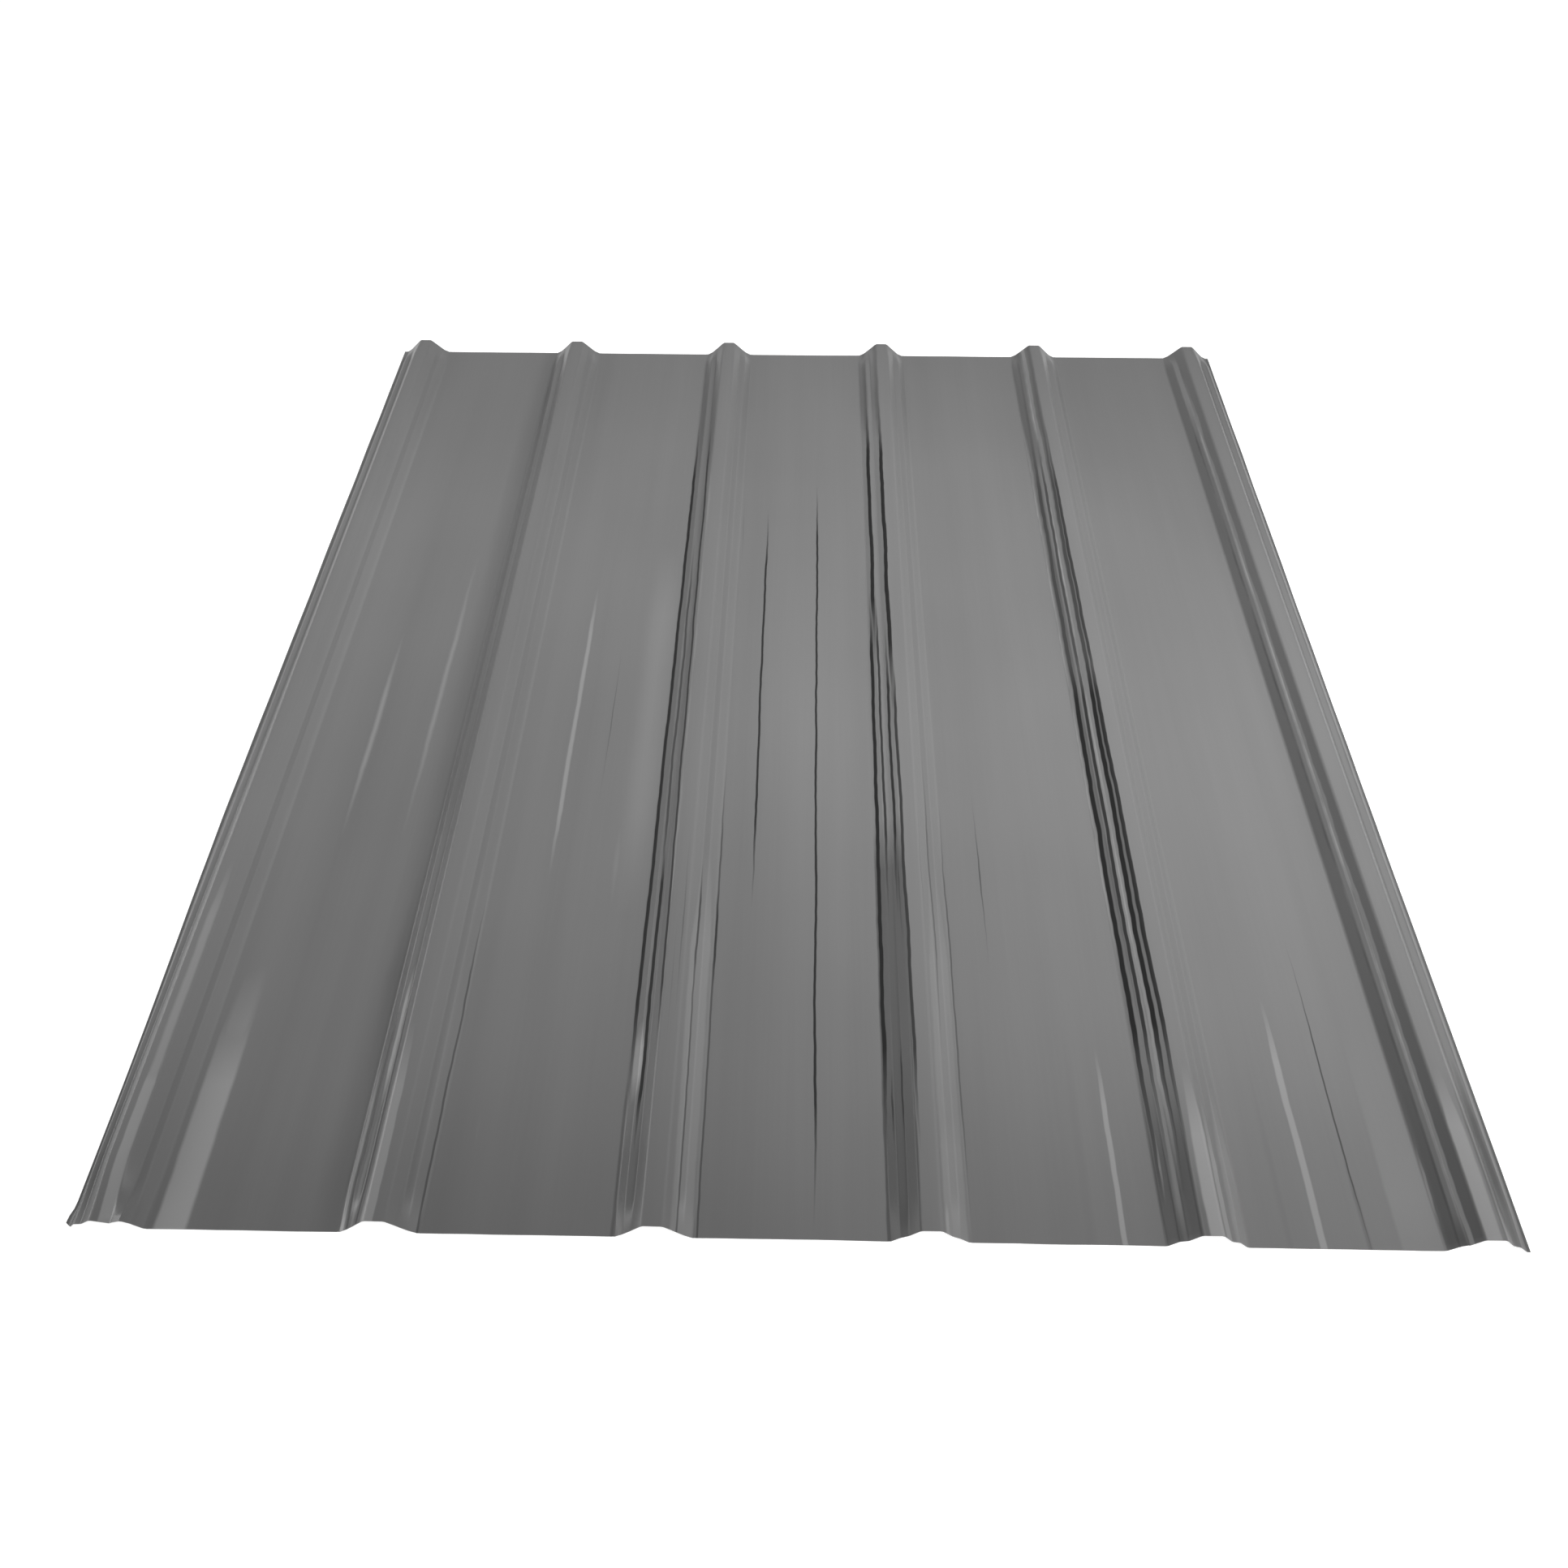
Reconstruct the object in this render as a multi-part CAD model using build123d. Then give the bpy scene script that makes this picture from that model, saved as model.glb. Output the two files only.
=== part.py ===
"""A roll-formed roofing sheet: six box ribs across one steel strip, cut square to length.

All sizes are in millimetres. The sheet lies as it does on a level floor, with its ribs along Y,
the undersides of its pans on Z = 0 and the middle of its overall width on X = 0.
"""

from build123d import *
import math
import os

# The strip and its overall layout
sheet_length = 1220.0
sheet_thickness = 0.5
rib_count = 6
rib_pitch = 200.0

# One rib, measured on the underside of the strip
rib_height = 19.0
rib_base_width = 58.0
crown_width = 15.0
ledge_rise = 9.0
ledge_width = 6.5

# Bends, measured on the inside of each one
bend_radius = 3.5
ledge_bend_radius = 2.0

# The two long edges: the left one goes under the next sheet, the right one goes over it
underlap_tuck = 2.5
underlap_lip = 5.0
overlap_lip = 2.5

# Worked out from the sizes above
crown_rise = rib_height - sheet_thickness
slope_run = (rib_base_width - crown_width) / 2 - ledge_width
lower_slope_run = slope_run * ledge_rise / crown_rise
rib_centres = [(index - (rib_count - 1) / 2) * rib_pitch for index in range(rib_count)]


def half_rib(foot_tuck=0.0):
    """Corners of one flank as (distance from the rib's middle, height), from the foot up to the crown."""
    foot = rib_base_width / 2
    ledge_outside = foot - lower_slope_run
    return [
        (foot - foot_tuck, 0.0),
        (ledge_outside, ledge_rise),
        (ledge_outside - ledge_width, ledge_rise),
        (crown_width / 2, crown_rise),
    ]


def rib(centre, left_tuck=0.0):
    """Corners of a whole rib on the underside of the strip, from its left foot to its right foot."""
    left_flank = [(centre - distance, height) for distance, height in half_rib(left_tuck)]
    right_flank = [(centre + distance, height) for distance, height in reversed(half_rib())]
    return left_flank + right_flank


def underside_corners():
    """Every corner of the strip's underside, from the underlap edge to the overlap edge."""
    first, *others = rib_centres
    corners = rib(first, left_tuck=underlap_tuck)
    for centre in others:
        corners += rib(centre)
    left_foot, right_foot = corners[0], corners[-1]
    left_edge = (left_foot[0] - underlap_lip, 0.0)
    right_edge = (right_foot[0] + overlap_lip, 0.0)
    middle = (left_edge[0] + right_edge[0]) / 2
    return [(x - middle, z) for x, z in [left_edge, *corners, right_edge]]


def underside_radii(corners):
    """The underside's radius at each inner corner, which is a bend's inside where the strip turns down."""
    radii = []
    for before, corner, after in zip(corners, corners[1:], corners[2:]):
        inside_radius = ledge_bend_radius if corner[1] == ledge_rise else bend_radius
        slope_in = math.atan2(corner[1] - before[1], corner[0] - before[0])
        slope_out = math.atan2(after[1] - corner[1], after[0] - corner[0])
        outside_radius = inside_radius + sheet_thickness
        radii.append(inside_radius if slope_out < slope_in else outside_radius)
    return radii


def formed_sheet():
    """The strip's bent section at one thickness throughout, drawn out along the ribs."""
    corners = underside_corners()
    with BuildPart() as sheet:
        with BuildSketch(Plane.XZ):
            with BuildLine():
                FilletPolyline(*corners, radius=underside_radii(corners))
                offset(amount=sheet_thickness, side=Side.LEFT)
            make_face()
        extrude(amount=sheet_length / 2, both=True)
    return sheet.part


os.makedirs("parts", exist_ok=True)
export_step(formed_sheet(), "parts/sheet.step")
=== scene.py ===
"""The looks of a grey roll-formed roofing sheet: one painted steel strip with six box ribs.

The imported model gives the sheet's place and overall size. The sheet is modelled here with its rounded
bends, its slight waves and the knocks on its ends, and is dressed in a grey top coat, a pale backing
coat and bare steel on its cut edges. It lies on a pale floor, and the camera looks down on it.
All lengths are in metres.
"""

import logging
import math
from collections.abc import Callable
from dataclasses import asdict
from dataclasses import dataclass
from dataclasses import field
from dataclasses import fields
from enum import Enum

import bmesh
import bpy
from bpy.types import Material
from bpy.types import NodeSocket
from bpy.types import Object
from mathutils import Matrix
from mathutils import Vector
from mathutils import noise

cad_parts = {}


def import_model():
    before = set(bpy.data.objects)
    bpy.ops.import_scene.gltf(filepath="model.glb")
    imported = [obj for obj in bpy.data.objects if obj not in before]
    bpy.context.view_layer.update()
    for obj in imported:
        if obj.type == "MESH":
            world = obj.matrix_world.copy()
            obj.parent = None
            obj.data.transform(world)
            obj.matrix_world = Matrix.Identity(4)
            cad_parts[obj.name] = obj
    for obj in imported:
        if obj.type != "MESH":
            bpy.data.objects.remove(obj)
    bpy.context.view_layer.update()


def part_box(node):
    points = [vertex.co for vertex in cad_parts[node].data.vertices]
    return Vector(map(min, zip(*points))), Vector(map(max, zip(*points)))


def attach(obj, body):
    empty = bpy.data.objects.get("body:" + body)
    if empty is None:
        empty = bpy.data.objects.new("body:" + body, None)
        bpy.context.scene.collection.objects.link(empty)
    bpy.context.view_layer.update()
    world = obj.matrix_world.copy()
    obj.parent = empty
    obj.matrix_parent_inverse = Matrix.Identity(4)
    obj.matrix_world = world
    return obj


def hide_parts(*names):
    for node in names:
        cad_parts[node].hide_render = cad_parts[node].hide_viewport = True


LOG = logging.getLogger("roofing_sheet")
NODE = "sheet"
BODY = "root"
SLOPE = "slope"
SAME_PLACE = 1e-5


class Pick(Enum):
    """What kind of mesh element an edit-mode selection is made of."""

    POINTS = "VERT"
    EDGES = "EDGE"
    FACES = "FACE"


def pick(obj: Object, kind: Pick, test: Callable[[Vector, Vector], bool]) -> None:
    """Selects exactly the elements of a mesh in edit mode whose extent passes a test.

    Args:
        obj: The object in edit mode.
        kind: What to select.
        test: Takes an element's lowest and highest corner, and says whether it is wanted.
    """
    bpy.ops.mesh.select_mode(type=kind.value)
    bpy.ops.mesh.select_all(action="DESELECT")
    mesh = bmesh.from_edit_mesh(obj.data)
    elements = {Pick.POINTS: mesh.verts, Pick.EDGES: mesh.edges, Pick.FACES: mesh.faces}[kind]
    for element in elements:
        points = [element.co] if kind is Pick.POINTS else [vert.co for vert in element.verts]
        low = Vector(map(min, *points)) if len(points) > 1 else points[0]
        high = Vector(map(max, *points)) if len(points) > 1 else points[0]
        element.select = test(low, high)
    mesh.select_flush_mode()
    bmesh.update_edit_mesh(obj.data)


def smooth_step(low: float, high: float, value: float) -> float:
    """Goes from 0 at low to 1 at high with a soft start and end; high may be the smaller of the two."""
    share = min(max((value - low) / (high - low), 0.0), 1.0)
    return share * share * (3.0 - 2.0 * share)


@dataclass(frozen=True)
class Ripple:
    """A smooth wandering value that is the same in each run.

    Attributes:
        across: How quickly it changes with the first coordinate.
        seed: Where in the noise it is taken.
        along: How quickly it changes with the second coordinate.
        start: Where in the noise the second coordinate starts.
    """

    across: float
    seed: float
    along: float = 0.0
    start: float = 0.0

    def at(self, first: float, second: float = 0.0) -> float:
        """Its value at a place, from 0 to 1."""
        point = Vector((first * self.across, second * self.along + self.start, self.seed))
        return 0.5 + 0.5 * noise.noise(point)


@dataclass(frozen=True)
class Bend:
    """One bend of the strip, on its underside: where its sharp corner would be, and how far it turns.

    Attributes:
        x: Place across the sheet.
        z: Height.
        turn: Angle between the flats on its two sides, in radians.
        radius: Radius of the underside.
    """

    x: float
    z: float
    turn: float
    radius: float

    @property
    def setback(self) -> float:
        """How far before its corner the bend starts."""
        return self.radius * math.tan(self.turn / 2.0)


@dataclass(frozen=True)
class RibSection:
    """A box rib's section on the underside of the strip, with a ledge half way up each flank.

    Attributes:
        base_width: Width at its foot.
        crown_width: Width of its flat top.
        ledge_rise: Height of its ledges.
        ledge_width: Width of each ledge.
        bend_radius: Inside radius of the bends at its feet and crown.
        ledge_bend_radius: The same at its ledges.
    """

    base_width: float = 0.058
    crown_width: float = 0.015
    ledge_rise: float = 0.009
    ledge_width: float = 0.0065
    bend_radius: float = 0.0035
    ledge_bend_radius: float = 0.002

    def flank(self, crown_rise: float, foot_tuck: float = 0.0) -> list[tuple[float, float]]:
        """Corners of one flank from its foot up to the crown.

        Args:
            crown_rise: Height of the crown's underside.
            foot_tuck: How far the foot is drawn in.

        Returns:
            Pairs of distance from the rib's middle and height.
        """
        run = (self.base_width - self.crown_width) / 2.0 - self.ledge_width
        ledge_outside = self.base_width / 2.0 - run * self.ledge_rise / crown_rise
        return [
            (self.base_width / 2.0 - foot_tuck, 0.0),
            (ledge_outside, self.ledge_rise),
            (ledge_outside - self.ledge_width, self.ledge_rise),
            (self.crown_width / 2.0, crown_rise),
        ]


@dataclass
class EndDamage:
    """The knocks on the sheet's two ends: a squashed rib, rounded rib ends, a bent lip and small nicks.

    Attributes:
        crush: Share of the first rib's height that is lost at the very end.
        crush_reach: How far the squash runs up the rib.
        dents: Place from that rib's middle, half width and further share lost, of each dent across it.
            A share under 0 is a gain, as on the right ledge.
        rounded: How far each rib's near end has been rounded to a plain hump, from 0 to 1.
        rounded_far: The same for all the far ends.
        round_reach: How far the rounding runs up the ribs.
        hump_top: Half of a hump's level top at the near end.
        hump_top_far: The same at the far end.
        lip_bend: How far the underlap lip is bent in near the near end.
        lip_flare: How far it comes out again at the very end.
        lip_width: Width of the strip along the edge that is bent.
        bend_run: Distances from the near end where the lip's bend starts and where it is whole.
        flare_run: The same for its flare.
        nicks: Place across the sheet, half width and depth of the near edge's blunt corner and nicks.
    """

    crush: float = 0.34
    crush_reach: float = 0.055
    dents: tuple[tuple[float, float, float], ...] = ((0.0055, 0.007, 0.24), (0.0165, 0.006, -0.60))
    rounded: tuple[float, ...] = (0.2, 0.85, 0.8, 0.55, 0.25, 0.35)
    rounded_far: float = 0.95
    round_reach: float = 0.035
    hump_top: float = 0.005
    hump_top_far: float = 0.0015
    lip_bend: float = 0.0045
    lip_flare: float = 0.0028
    lip_width: float = 0.014
    bend_run: tuple[float, float] = (0.42, 0.10)
    flare_run: tuple[float, float] = (0.018, 0.006)
    nicks: tuple[tuple[float, float, float], ...] = (
        (-0.5300, 0.005, 0.0034),
        (0.1185, 0.002, 0.0022),
        (0.4815, 0.0025, 0.0016),
    )

    def height_kept(self, across: float, from_end: float) -> float:
        """What share of its height the first rib keeps at a place.

        Args:
            across: Distance from the rib's middle, to the right.
            from_end: Distance from the sheet's near end.

        Returns:
            The share, which is above 1 where the ledge is pushed up.
        """
        fade = smooth_step(self.crush_reach, 0.0, from_end)
        lost = sum(
            share * math.exp(-(((across - place) / half) ** 2)) for place, half, share in self.dents
        )
        return 1.0 - (self.crush + lost * fade) * fade

    def rounding(self, number: int, from_near: float, from_far: float) -> float:
        """How far a rib is rounded to a plain hump at a place.

        Args:
            number: The rib's number from the underlap, from 0.
            from_near: Distance from the sheet's near end.
            from_far: Distance from its far end.

        Returns:
            A share from 0 to 1.
        """
        near = self.rounded[number] * smooth_step(self.round_reach, 0.0, from_near)
        return near + self.rounded_far * smooth_step(self.round_reach, 0.0, from_far)

    def lip_shift(self, from_edge: float, from_near: float) -> float:
        """How far in a point near the underlap edge is pushed.

        Args:
            from_edge: Distance from the edge.
            from_near: Distance from the sheet's near end.

        Returns:
            The distance, to the right.
        """
        bend = self.lip_bend * smooth_step(*self.bend_run, from_near)
        flare = self.lip_flare * smooth_step(*self.flare_run, from_near)
        return (bend - flare) * max(0.0, 1.0 - from_edge / self.lip_width)

    def nick_depth(self, x: float) -> float:
        """How far the near edge is cut in at a place across the sheet."""
        return max(depth * max(0.0, 1.0 - abs(x - place) / half) for place, half, depth in self.nicks)


@dataclass
class RoofingSheet:
    """The whole sheet, made from one flat strip by scoring, raising and rounding its bends.

    Attributes:
        low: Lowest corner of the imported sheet's box.
        high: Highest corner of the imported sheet's box.
        section: Of the ribs.
        damage: What handling has done to the two ends.
        thickness: Of the coated strip.
        rib_count: Number of ribs.
        underlap_lip: Flat beyond the left rib's foot.
        overlap_lip: Flat beyond the right rib's foot.
        underlap_tuck: How far the left rib's outer foot is drawn in.
        bend_segments: Steps in each rounded bend.
        pan_columns: Columns of faces across a pan.
        rows: Numbers of cuts along the ribs, made one after the other.
        row_bias: How much closer the rows lie at the two ends than in the middle, from 0 to 1.
        pan_rise: Highest that the waves lift a pan.
        pan_waves: What the waves' height is multiplied from.
        edge_drift: Furthest that the cut edges wander inwards.
        end_waves: Shares of the two ends' wander, coarse and fine.
        side_drift: The long edges' share of that wander.
        side_waves: The long edges' wander.
        end_reach: How far from an end its wander still moves the sheet.
        side_reach: The same for the left long edge and the right one.
        crease: Least angle of an edge that is shaded sharp, in degrees.
        upright: How far from level a cut edge's face may look up or down, from 0 to 1.
    """

    low: Vector
    high: Vector
    section: RibSection = field(default_factory=RibSection)
    damage: EndDamage = field(default_factory=EndDamage)
    thickness: float = 0.0005
    rib_count: int = 6
    underlap_lip: float = 0.005
    overlap_lip: float = 0.0025
    underlap_tuck: float = 0.0025
    bend_segments: int = 5
    pan_columns: int = 8
    rows: tuple[int, int] = (11, 9)
    row_bias: float = 0.55
    pan_rise: float = 0.0011
    pan_waves: tuple[Ripple, ...] = (Ripple(5.0, 3.7, 2.2), Ripple(1.3, 9.1, 7.0))
    edge_drift: float = 0.0012
    end_waves: tuple[tuple[float, Ripple], ...] = (
        (0.7, Ripple(16.0, 0.2, start=1.3)),
        (0.3, Ripple(110.0, 0.6, start=8.1)),
    )
    side_drift: float = 0.6
    side_waves: Ripple = Ripple(14.0, 0.9, start=5.2)
    end_reach: float = 0.004
    side_reach: tuple[float, float] = (0.004, 0.002)
    crease: float = 35.0
    upright: float = 0.2

    @property
    def crown_rise(self) -> float:
        """Height of a crown's underside."""
        return self.high.z - self.low.z - self.thickness

    @property
    def rib_centres(self) -> list[float]:
        """Middle of each rib across the sheet, from the underlap to the overlap."""
        first = self.low.x + self.underlap_lip + self.section.base_width / 2.0 - self.underlap_tuck
        last = self.high.x - self.overlap_lip - self.section.base_width / 2.0
        pitch = (last - first) / (self.rib_count - 1)
        return [first + index * pitch for index in range(self.rib_count)]

    def corners(self) -> list[tuple[float, float]]:
        """Every corner of the underside across the sheet, with the two long edges at its ends.

        Returns:
            Pairs of place across the sheet and height.
        """
        found = [(self.low.x, 0.0)]
        for index, centre in enumerate(self.rib_centres):
            tuck = self.underlap_tuck if index == 0 else 0.0
            left = self.section.flank(self.crown_rise, tuck)
            right = reversed(self.section.flank(self.crown_rise))
            found += [(centre - distance, height) for distance, height in left]
            found += [(centre + distance, height) for distance, height in right]
        return [*found, (self.high.x, 0.0)]

    def bends(self) -> list[Bend]:
        """Every bend across the sheet. A bend's inside radius is on the side that it turns towards.

        Returns:
            The bends, from the underlap to the overlap.
        """
        corners = self.corners()
        found = []
        for before, corner, after in zip(corners, corners[1:], corners[2:]):
            slope_in = math.atan2(corner[1] - before[1], corner[0] - before[0])
            slope_out = math.atan2(after[1] - corner[1], after[0] - corner[0])
            on_ledge = math.isclose(corner[1], self.section.ledge_rise)
            inside = self.section.ledge_bend_radius if on_ledge else self.section.bend_radius
            radius = inside if slope_out < slope_in else inside + self.thickness
            found.append(Bend(corner[0], corner[1], abs(slope_out - slope_in), radius))
        return found

    def build(self) -> Object:
        """Makes the sheet.

        Returns:
            The finished mesh object, with its place in its mesh.
        """
        strip = self._lay_strip()
        bpy.ops.object.mode_set(mode="EDIT")
        self._score()
        self._raise_ribs(strip)
        self._round_bends(strip)
        self._divide(strip)
        bpy.ops.object.mode_set(mode="OBJECT")
        self._relax(strip)
        self._thicken(strip)
        self._note_slopes(strip)
        return strip

    def _lay_strip(self) -> Object:
        """Lays the flat strip on the plane of the pans' undersides.

        Returns:
            The strip, at the origin.
        """
        bpy.ops.object.select_all(action="DESELECT")
        bpy.ops.mesh.primitive_plane_add(size=1.0)
        strip = bpy.context.object
        strip.name = "roofing_sheet"
        strip.data.name = "roofing_sheet"
        strip.scale = (self.high.x - self.low.x, self.high.y - self.low.y, 1.0)
        middle = (self.low + self.high) / 2.0
        strip.location = (middle.x, middle.y, self.low.z)
        bpy.ops.object.transform_apply(location=True, rotation=True, scale=True)
        return strip

    def _score(self) -> None:
        """Cuts the strip lengthways at every bend, and across each pan for its waves."""
        lines = [bend.x for bend in self.bends()]
        half_base = self.section.base_width / 2.0
        for left, right in zip(self.rib_centres, self.rib_centres[1:]):
            width = right - left - 2.0 * half_base
            steps = range(1, self.pan_columns)
            lines += [left + half_base + width * step / self.pan_columns for step in steps]
        for x in lines:
            bpy.ops.mesh.select_all(action="SELECT")
            bpy.ops.mesh.bisect(plane_co=(x, 0.0, 0.0), plane_no=(1.0, 0.0, 0.0))

    def _raise_ribs(self, strip: Object) -> None:
        """Lifts the scored lines of the ledges and crowns to their heights.

        Args:
            strip: The strip, in edit mode.
        """
        for height in (self.section.ledge_rise, self.crown_rise):
            lines = [bend.x for bend in self.bends() if math.isclose(bend.z, height)]
            pick(strip, Pick.POINTS, lambda low, high: any(abs(low.x - x) < SAME_PLACE for x in lines))
            bpy.ops.transform.translate(value=(0.0, 0.0, height))

    def _round_bends(self, strip: Object) -> None:
        """Rounds each sharp bend to its own radius.

        Args:
            strip: The strip, in edit mode.
        """
        for bend in self.bends():
            pick(
                strip,
                Pick.EDGES,
                lambda low, high: max(abs(low.x - bend.x), abs(high.x - bend.x)) < SAME_PLACE,
            )
            bpy.ops.mesh.bevel(
                offset_type="OFFSET",
                offset=bend.setback,
                segments=self.bend_segments,
                profile=0.5,
                affect="EDGES",
                clamp_overlap=False,
            )

    def _divide(self, strip: Object) -> None:
        """Cuts the formed strip across into rows.

        Args:
            strip: The strip, in edit mode.
        """
        shortest = 0.5 * (self.high.y - self.low.y) / math.prod(cuts + 1 for cuts in self.rows)
        for cuts in self.rows:
            pick(
                strip,
                Pick.EDGES,
                lambda low, high: high.y - low.y > shortest and high.x - low.x < SAME_PLACE,
            )
            bpy.ops.mesh.subdivide(number_cuts=cuts)

    def _relax(self, strip: Object) -> None:
        """Moves the points as handling has moved the steel: waves, a squashed rib end and worn edges.

        Args:
            strip: The strip, in object mode.
        """
        middle = (self.low.y + self.high.y) / 2.0
        half = (self.high.y - self.low.y) / 2.0
        for vert in strip.data.vertices:
            place = vert.co
            along = (place.y - middle) / half
            place.y = middle + half * along * (1.0 + self.row_bias * (1.0 - along * along) * 0.5)
        for vert in strip.data.vertices:
            vert.co = self._handled(vert.co.copy())
        strip.data.update()

    def _handled(self, place: Vector) -> Vector:
        """Where a point of the new strip has come to lie.

        Args:
            place: The point on a perfect strip.

        Returns:
            The point on the handled one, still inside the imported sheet's box.
        """
        from_near = place.y - self.low.y
        from_far = self.high.y - place.y
        on_pan = 1.0 - place.z / self.crown_rise
        wave = math.prod(ripple.at(place.x, place.y) for ripple in self.pan_waves)
        lift = self.pan_rise * wave * on_pan * on_pan
        half_base = self.section.base_width / 2.0
        for number, centre in enumerate(self.rib_centres):
            across = place.x - centre
            if abs(across) < half_base:
                top = self.damage.hump_top if from_near < from_far else self.damage.hump_top_far
                hump = self.crown_rise * smooth_step(half_base, top, abs(across))
                place.z += (hump - place.z) * self.damage.rounding(number, from_near, from_far)
                if number == 0 and from_near < self.damage.crush_reach:
                    place.z *= self.damage.height_kept(across, from_near)
        place.z += lift
        place.x += self.damage.lip_shift(place.x - self.low.x, from_near)
        drift = self.edge_drift * sum(share * ripple.at(place.x) for share, ripple in self.end_waves)
        nick = self.damage.nick_depth(place.x)
        place.y += (drift + nick) * smooth_step(self.end_reach, 0.0, from_near)
        place.y -= drift * smooth_step(self.end_reach, 0.0, from_far)
        sway = self.edge_drift * self.side_drift * self.side_waves.at(place.y)
        left_reach, right_reach = self.side_reach
        place.x += sway * smooth_step(left_reach, 0.0, place.x - self.low.x)
        place.x -= sway * smooth_step(right_reach, 0.0, self.high.x - place.x)
        return place

    def _thicken(self, strip: Object) -> None:
        """Gives the strip its thickness upwards, and shades its bends smooth and its edges sharp.

        Args:
            strip: The strip, in object mode.
        """
        wall = strip.modifiers.new("wall", "SOLIDIFY")
        wall.thickness = self.thickness
        wall.offset = 1.0
        wall.use_even_offset = True
        wall.use_rim = True
        bpy.ops.object.modifier_apply(modifier=wall.name)
        bpy.ops.object.shade_smooth_by_angle(angle=math.radians(self.crease))

    def _note_slopes(self, strip: Object) -> None:
        """Keeps how far each point faces right, from -1 to 1, for the finishes to read.

        Args:
            strip: The finished strip.
        """
        slopes = strip.data.attributes.new(SLOPE, "FLOAT", "POINT")
        for vert, slope in zip(strip.data.vertices, slopes.data):
            slope.value = vert.normal.x

    def dress(self, sheet: Object, tops: list[Material], back: Material, cut: Material) -> None:
        """Gives each face its finish by the way it looks and the rib that it is nearest to.

        Args:
            sheet: The finished mesh object.
            tops: The coat on the side that sheds water, as it has worn on each rib and beside it, with
                the shade and light painted on it.
            back: The coat on the underside.
            cut: The bare steel of the edges.
        """
        for material in (*tops, back, cut):
            sheet.data.materials.append(material)
        for polygon in sheet.data.polygons:
            distances = [abs(polygon.center.x - centre) for centre in self.rib_centres]
            if polygon.normal.z > self.upright:
                polygon.material_index = distances.index(min(distances))
            elif polygon.normal.z < -self.upright:
                polygon.material_index = len(tops)
            else:
                polygon.material_index = len(tops) + 1


class Nodes:
    """Lays out the nodes of one material, world or group."""

    def __init__(self, tree: bpy.types.NodeTree) -> None:
        """Starts on a node tree and empties it."""
        self.tree = tree
        self.tree.nodes.clear()

    def add(self, kind: str, inputs: dict | None = None, **settings: object) -> bpy.types.Node:
        """Adds a node.

        Args:
            kind: The node's type name.
            inputs: Value or output socket for each input, by name or number.
            settings: Properties of the node.

        Returns:
            The new node.
        """
        node = self.tree.nodes.new(kind)
        for name, value in settings.items():
            setattr(node, name, value)
        for name, value in (inputs or {}).items():
            if isinstance(value, NodeSocket):
                self.tree.links.new(value, node.inputs[name])
            else:
                node.inputs[name].default_value = value
        return node

    def sum(self, operation: str, *values: object, clamp: bool = False) -> NodeSocket:
        """Adds a Math node on numbers or sockets and returns its output."""
        node = self.add("ShaderNodeMath", dict(enumerate(values)), operation=operation, use_clamp=clamp)
        return node.outputs[0]

    def ramp(self, value: object, low: object, high: object, out_low: object = 0.0,
             out_high: object = 1.0) -> NodeSocket:
        """Adds a Map Range node with soft ends.

        Args:
            value: What is mapped.
            low: The value that gives out_low.
            high: The value that gives out_high.
            out_low: The output up to low.
            out_high: The output from high on.

        Returns:
            Its output.
        """
        inputs = {
            "Value": value,
            "From Min": low,
            "From Max": high,
            "To Min": out_low,
            "To Max": out_high,
        }
        return self.add("ShaderNodeMapRange", inputs, interpolation_type="SMOOTHSTEP").outputs["Result"]

    def clouds(self, place: NodeSocket, scale: float, detail: object, **settings: object) -> NodeSocket:
        """Adds a Noise node and returns its output, from 0 to 1."""
        inputs = {"Vector": place, "Scale": scale, "Detail": detail}
        return self.add("ShaderNodeTexNoise", inputs, **settings).outputs["Fac"]

    def mix(self, share: object, first: object, second: object, blend: str = "MIX") -> NodeSocket:
        """Adds a colour Mix node.

        Args:
            share: The second colour's share.
            first: The first colour.
            second: The second colour.
            blend: The blend type.

        Returns:
            Its output.
        """
        node = self.add("ShaderNodeMix", data_type="RGBA", blend_type=blend, clamp_factor=True)
        for number, value in ((0, share), (6, first), (7, second)):
            if isinstance(value, NodeSocket):
                self.tree.links.new(value, node.inputs[number])
            else:
                node.inputs[number].default_value = value
        return node.outputs[2]

    def end_surface(self, inputs: dict) -> None:
        """Ends a material with a Principled shader that has these inputs."""
        shader = self.add("ShaderNodeBsdfPrincipled", inputs)
        self.add("ShaderNodeOutputMaterial", {"Surface": shader.outputs["BSDF"]})


def new_material(name: str) -> tuple[Material, Nodes]:
    """Makes a material with an empty node tree.

    Args:
        name: What it is called.

    Returns:
        The material, and its nodes to lay out.
    """
    material = bpy.data.materials.new(name)
    material.use_nodes = True
    return material, Nodes(material.node_tree)


def grey(level: float, warmth: float = 0.0) -> tuple[float, float, float, float]:
    """A grey as a linear colour, warmer or cooler by a share of its level."""
    return (level * (1.0 + warmth), level, level * (1.0 - warmth), 1.0)


@dataclass(frozen=True)
class Mark:
    """A mark along a rib on the top coat.

    Attributes:
        x: Place across the sheet, from the middle of the rib.
        near: Its end that is nearer to the camera.
        far: Its other end.
        half_width: Half of its width.
        strength: How strongly it shows, from 0 to 1.
        softness: Share of its half width over which its edge fades.
        taper: Length over which each end fades.
        lean: How far it goes to the right for each metre away from the camera.
        point: Share of its width that it loses towards its ends.
    """

    x: float
    near: float
    far: float
    half_width: float = 0.0011
    strength: float = 0.85
    softness: float = 0.6
    taper: float = 0.1
    lean: float = 0.0
    point: float = 0.6


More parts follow.
